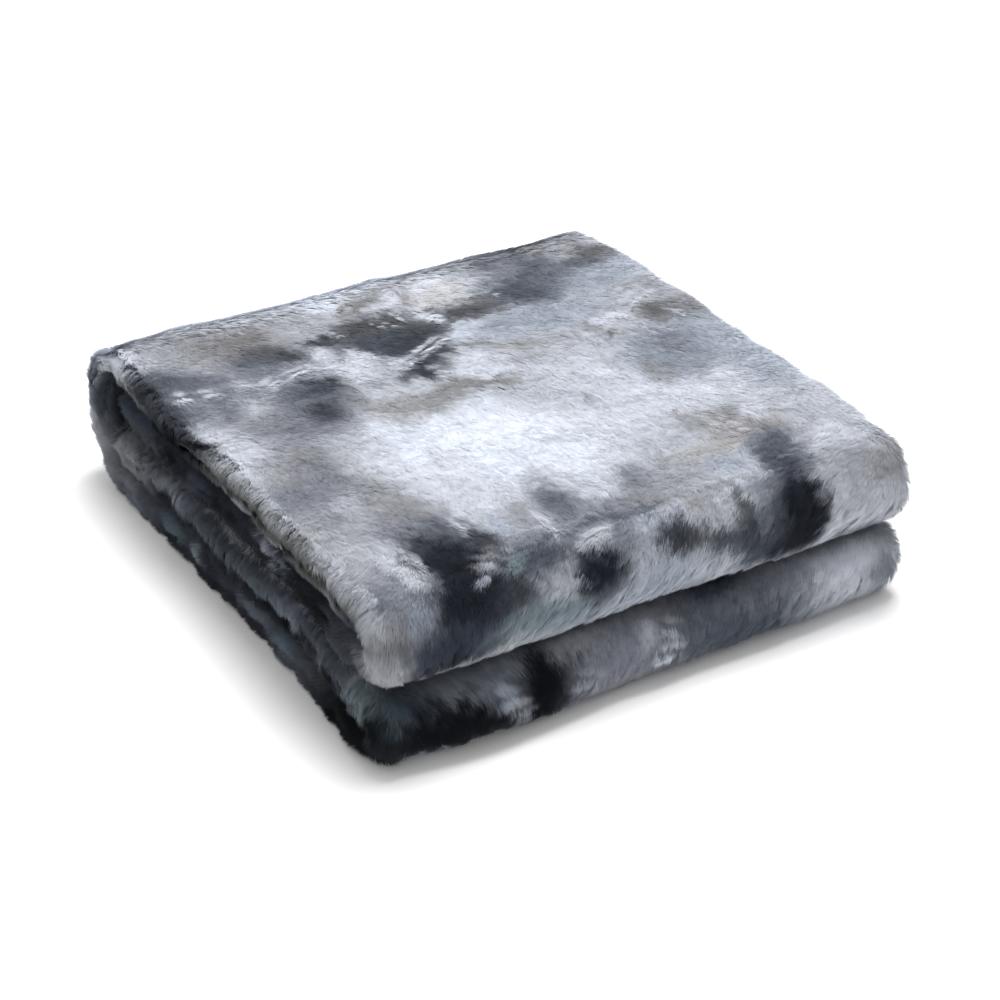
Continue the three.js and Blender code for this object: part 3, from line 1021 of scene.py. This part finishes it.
def tufts(along, round_ring, seed):
    """For each place the nearest tuft, its middle and its three traits: tufts stand one to a cell of a
    lattice, anywhere in the cell."""
    rng = np.random.default_rng(seed)
    in_cell = rng.random((TUFT_LATTICE, TUFT_LATTICE, 2))
    own = rng.random((TUFT_LATTICE, TUFT_LATTICE, 3))
    i, j = np.floor(along / TUFT).astype(int), np.floor(round_ring / TUFT).astype(int)
    best = np.full(along.shape, np.inf)
    centre, traits = np.zeros((len(along), 2)), np.zeros((len(along), 3))
    for di in (-1, 0, 1):
        for dj in (-1, 0, 1):
            cell = (i + di) % TUFT_LATTICE, (j + dj) % TUFT_LATTICE
            spot = (np.stack([i + di, j + dj], axis=-1) + in_cell[cell]) * TUFT
            far = (spot[:, 0] - along) ** 2 + (spot[:, 1] - round_ring) ** 2
            nearer = far < best
            best = np.where(nearer, far, best)
            centre[nearer], traits[nearer] = spot[nearer], own[cell][nearer]
    return centre, traits


def over_sheet(values):
    """Values for the stations, the ring or both, as a grid with one column for on_cloth."""
    return np.broadcast_to(values, (STATIONS, RING)).astype(float)[..., None]


# How ragged the rims are on each stretch of the cloth.
TUFTED_RIMS = {SECOND: 0.8, THIRD: 0.8, UPPER_FOLD: 0.6, LOWER_FOLD: 0.6}
SMOOTH_RIM = 0.3
RIMS_EVENED = 6
tufted = np.full(STATIONS, SMOOTH_RIM)
for part, share in TUFTED_RIMS.items():
    tufted[way["stretch"] == part] = share
tufted = evened(tufted, RIMS_EVENED)
left_of, right_of = edge(-1), edge(1)
rim_grid = over_sheet(rim_side)
rough_grid = over_sheet(np.abs(rim_side) * tufted[:, None])
half_grid = over_sheet(ring_half)
up_grid = over_sheet(way["face_z"][:, None])

# How strands differ. Sizes are metres, turns are radians, and the rest are shares of a strand's length,
# height, width or light. LEAST is what every strand has, OWN is its own draw and TUFT its tuft's, RIM
# comes on top on ragged rims and HANG on faces that hang, and FROST counts in the icy flecks.
LYING = 0.0026
RIM_LAY, RIM_LAY_FROM = math.radians(52), 0.034
LEVEL_CALMS = 0.6
TUFT_TURN, OWN_TURN, OWN_ROLL = 0.4, 0.08, 0.2
LENGTH_LEAST, TUFT_LENGTH, RIM_LENGTH, OWN_LENGTH, FROST_SHORTENS = 0.85, 0.2, 0.5, 0.3, 0.3
PULL, RIM_PULL, HANG_PULL = 0.12, 0.3, 0.2
HEIGHT_LEAST, TUFT_HEIGHT, TUFT_SINKS, OWN_HEIGHT, OWN_UNRULY = 0.75, 0.35, 0.3, 0.1, 0.2
HANG_HEIGHT, HANG_SINKS, FROST_HEIGHT = 0.4, 0.6, 0.0011
LOOSE_ON_FACE, LOOSE_ON_RIM = 0.15, 0.7
FOOT_LIES, FOOT_SUNK = 0.35, 0.0008
WIDTH_LEAST, OWN_WIDTH, FROST_WIDENS = 0.7, 0.6, 0.8
LOWEST_PILE = 0.0003
TUFT_WISP, OWN_WISP = 0.0084, 0.0072
LIGHT_LEAST, TUFT_LIGHT, HANG_LIGHT, HANG_DARKENS, OWN_LIGHT = 0.92, 0.08, 0.12, 0.3, 0.08
# Strands are darker at the root, a painted shade between them, and lighter at the tip; both less where the
# colour is light.
ROOT_SHADE_TO_TIP, ROOT_TO_TIP_UP_TO = 0.13, 1.1
FLECKS_FROM = 0.9
SMOOTHED = 0.75
PILE_FINISH = fleece("fleece_pile", roughness=0.85, sheen=0.03, bump_height=0.0003)


def pile(name, density, count, length, width, stands, seed):
    """Strands, each with two corners at its root and one at its tip. Roots are spread by area times
    density. A tip lies its strand's length from the root, at the combed turn plus the tuft's and its
    own, turned outwards near an end, and pulled to its tuft's tip. It stands at its height over the
    cloth there, or, as far as it is loose, over the root's own plane. Its colour is read a little off
    its root; it is darker at the root, a painted shade between the strands, and lighter at the tip,
    and it is lit mostly as the cloth below it."""
    rng = np.random.default_rng(seed)
    heap = np.cumsum((cell_area * density[:-1]).ravel())
    pick = np.searchsorted(heap, (np.arange(count) + rng.random(count)) / count * heap[-1])
    row, column = pick // RING, pick % RING
    root_along = SKIN_START + (row + rng.random(count)) * STEP
    root_round = round_run[column] + rng.random(count) * (round_run[column + 1] - round_run[column])

    def at_root(grid):
        return on_cloth(grid, root_along, root_round)

    root, root_normal = at_root(cloth_points), at_root(cloth_normals)
    rim, rough, half, up = (at_root(grid)[:, 0] for grid in (rim_grid, rough_grid, half_grid, up_grid))
    on_face = 1 - np.abs(rim)
    hang = (1 - np.abs(up)) * on_face
    unruly = 1 - LEVEL_CALMS * on_face * np.maximum(up, 0)
    has_flecks = (half > FLECKS_FROM).astype(float)
    frost = frosted(np.zeros((count, 3)), root[:, 0], root_along, has_flecks)
    centre, traits = tufts(root_along, root_round, seed)
    tuft_turn, tuft_length, tuft_height = traits.T

    from_left = root[:, 0] - np.interp(root_along, way["skin"], left_of)
    from_right = np.interp(root_along, way["skin"], right_of) - root[:, 0]
    outward = eased((RIM_LAY_FROM - np.minimum(from_left, from_right)) / RIM_LAY_FROM)
    turn = combed(root[:, 0], root_along) * (1 - outward) + np.sign(root[:, 0]) * outward * RIM_LAY * up
    turn = turn + (tuft_turn - 0.5) * TUFT_TURN * unruly + rng.normal(0, OWN_TURN, count)
    toward = np.stack([-np.cos(turn), np.sin(turn)], axis=-1)
    ragged = (TUFT_LENGTH + RIM_LENGTH * rough) * (tuft_length - 0.5)
    reach = length * (LENGTH_LEAST + ragged + OWN_LENGTH * rng.random(count)) * (1 - FROST_SHORTENS * frost)
    reach = reach[:, None]
    tip = np.stack([root_along, root_round], axis=-1) + toward * reach
    pull = (PULL + RIM_PULL * rough + HANG_PULL * hang)[:, None]
    tip += pull * (centre + toward * reach - tip)
    height = HEIGHT_LEAST + TUFT_HEIGHT * unruly * (tuft_height - TUFT_SINKS)
    height = height + (OWN_HEIGHT + OWN_UNRULY * unruly) * rng.random(count)
    height = height + HANG_HEIGHT * hang * (tuft_height - HANG_SINKS)
    height = (stands * height + FROST_HEIGHT * frost)[:, None]

    tip_normal = on_cloth(cloth_normals, *tip.T)
    lying = on_cloth(cloth_points, *tip.T) + tip_normal * height
    heading = at_root(along_step) * toward[:, :1] + at_root(round_step) * toward[:, 1:]
    free = root + heading * reach + root_normal * height
    loose = (LOOSE_ON_FACE + (LOOSE_ON_RIM - LOOSE_ON_FACE) * rough)[:, None]
    tip_point = lying + (free - lying) * loose
    foot = root + root_normal * (FOOT_LIES * stands * on_face - FOOT_SUNK)[:, None]
    side = unit(np.cross(tip_point - foot, root_normal))
    roll = rng.normal(0, OWN_ROLL, count)[:, None]
    side = side * np.cos(roll) + root_normal * np.sin(roll)
    half_width = width / 2 * (WIDTH_LEAST + OWN_WIDTH * rng.random(count)) * (1 + FROST_WIDENS * frost)
    side *= half_width[:, None]
    corners = np.stack([foot + side, tip_point, foot - side], axis=1)
    corners[..., 2] = np.maximum(corners[..., 2], LOWEST_PILE)

    wisp = ((tuft_turn - 0.5) * TUFT_WISP + (rng.random(count) - 0.5) * OWN_WISP) * (1 - frost)
    spot_along = root_along + toward[:, 0] * wisp
    spot_across = root[:, 0] + toward[:, 1] * np.where(half < 0, -1, 1) * wisp * on_face
    colour = coloured(spot_across, spot_along, half)
    frosted(colour, root[:, 0], root_along, has_flecks)
    light = (TUFT_LIGHT + HANG_LIGHT * hang) * (tuft_length - HANG_DARKENS * hang)
    colour = colour * (LIGHT_LEAST + light + OWN_LIGHT * rng.random(count))[:, None]
    root_shade_and_tip = ROOT_SHADE_TO_TIP * (ROOT_TO_TIP_UP_TO - colour.mean(axis=-1, keepdims=True))
    shaded_root_colour, tip_colour = colour * (1 - root_shade_and_tip), colour * (1 + root_shade_and_tip)
    frosted(tip_colour, tip_point[:, 0], tip[:, 0], has_flecks)
    shades = np.stack([shaded_root_colour, tip_colour, shaded_root_colour], axis=1)

    own = unit(np.cross(side, tip_point - foot))
    own *= np.sign((own * root_normal).sum(axis=-1, keepdims=True))
    soft = np.stack([root_normal, tip_normal, root_normal], axis=1) * SMOOTHED + own[:, None] * (1 - SMOOTHED)
    piece = mesh_piece(
        name,
        corners.reshape(-1, 3),
        np.arange(count * 3).reshape(-1, 3),
        shades.reshape(-1, 3).clip(0, 1),
        PILE_FINISH,
    )
    piece.data.normals_split_custom_set_from_vertices(unit(soft).reshape(-1, 3))
    return piece


# Where each piece of pile grows. Inside the stack it is needed only near what shows, and it is thin
# under the blanket.
NEAR_END, NEAR_FRONT = 0.03, 0.05
TOP_PARTS_AT = -0.02
FRONT_INSIDE, LEFT_INSIDE, RIGHT_INSIDE = 0.7, 0.5, 0.4
SPINE_DENSITY, FLOOR_DENSITY = 0.8, 0.12
FIRST_SEED = 41
stretch = way["stretch"][:, None]
x_of, y_of = cloth_points[..., 0], cloth_points[..., 1]
outer = (ring_half > 0)[None, :] & ~on_rim[None, :]
inner = (ring_half < 0)[None, :] & ~on_rim[None, :]
top = (stretch == TOP) & outer
folds = np.isin(stretch, [UPPER_FOLD, LOWER_FOLD]) & outer
leaves = np.isin(stretch, [SECOND, THIRD]) & outer
below = np.where(stretch == BOTTOM, FLOOR_DENSITY, SPINE_DENSITY)
back = (np.isin(stretch, [SPINE, BOTTOM]) & outer) * below
rims = np.broadcast_to(on_rim[None, :], y_of.shape)
near_end = np.exp(-(((WIDTH / 2 - np.abs(x_of)) / NEAR_END) ** 2))
near_front = np.exp(-(((y_of - y_of.min()) / NEAR_FRONT) ** 2))
inside = (inner | leaves) * near_end
left_side = (rims + inside * LEFT_INSIDE) * (x_of < 0)
right_side = (rims + inside * RIGHT_INSIDE) * (x_of >= 0)
PILES = [  # name, density, strands, length, width, height
    ("pile_top_front", top & (y_of < TOP_PARTS_AT), 190000, 0.012, 0.0009, LYING),
    ("pile_top_back", top & (y_of >= TOP_PARTS_AT), 190000, 0.012, 0.0009, LYING),
    ("pile_folds", folds + leaves * near_front * FRONT_INSIDE, 190000, 0.012, 0.0009, EXPOSED),
    ("pile_left_end", left_side, 160000, 0.011, 0.0009, EDGE),
    ("pile_spine_and_right_end", right_side + back, 165000, 0.012, 0.0011, EXPOSED),
]
pile_pieces = [pile(*row, FIRST_SEED + k) for k, row in enumerate(PILES)]

# The studio: a pale matt floor, which is staging, one soft light above and a little behind on the
# right, and an even white sky.
FLOOR_SIZE = 14.0
floor_mesh = bpy.data.meshes.new("floor")
floor_mesh.from_pydata(
    [(x * FLOOR_SIZE / 2, y * FLOOR_SIZE / 2, 0) for x, y in ((-1, -1), (1, -1), (1, 1), (-1, 1))],
    [],
    [(0, 1, 2, 3)],
)
floor = bpy.data.objects.new("floor", floor_mesh)
bpy.context.scene.collection.objects.link(floor)
floor_finish = bpy.data.materials.new("floor")
floor_finish.use_nodes = True
floor_shader = floor_finish.node_tree.nodes["Principled BSDF"]
floor_shader.inputs["Base Color"].default_value = (0.9, 0.9, 0.9, 1)
floor_shader.inputs["Roughness"].default_value = 0.9
floor_mesh.materials.append(floor_finish)

KEY_PLACE = Vector((0.45, 0.35, 2.3))
KEY_POWER = 66
KEY_SIZE = 1.4
SKY_STRENGTH = 0.8
key_data = bpy.data.lights.new("key", "AREA")
key_data.energy = KEY_POWER
key_data.shape = "DISK"
key_data.size = KEY_SIZE
key = bpy.data.objects.new("key", key_data)
key.location = KEY_PLACE
key.rotation_euler = (-KEY_PLACE).to_track_quat("-Z", "Y").to_euler()
bpy.context.scene.collection.objects.link(key)
world = bpy.data.worlds.new("studio")
bpy.context.scene.world = world
world.use_nodes = True
world.node_tree.nodes["Background"].inputs["Color"].default_value = (1, 1, 1, 1)
world.node_tree.nodes["Background"].inputs["Strength"].default_value = SKY_STRENGTH
bpy.context.scene.view_settings.view_transform = "Standard"

# The camera. It looks down on the front left corner of the folded blanket, at the photograph's
# viewing angle, through a long lens.
VIEW_AZIMUTH = math.radians(-31.3)
VIEW_ELEVATION = math.radians(30.6)
VIEW_DISTANCE = 1.65
VIEW_TARGET = Vector((0.0143, 0.0, 0.0174))
LENS = 85.0

camera_data = bpy.data.cameras.new("camera")
camera_data.lens = LENS
camera = bpy.data.objects.new("camera", camera_data)
backwards = Vector(
    (
        math.sin(VIEW_AZIMUTH) * math.cos(VIEW_ELEVATION),
        -math.cos(VIEW_AZIMUTH) * math.cos(VIEW_ELEVATION),
        math.sin(VIEW_ELEVATION),
    )
)
camera.location = VIEW_TARGET + backwards * VIEW_DISTANCE
camera.rotation_euler = (-backwards).to_track_quat("-Z", "Y").to_euler()
bpy.context.scene.collection.objects.link(camera)
bpy.context.scene.camera = camera
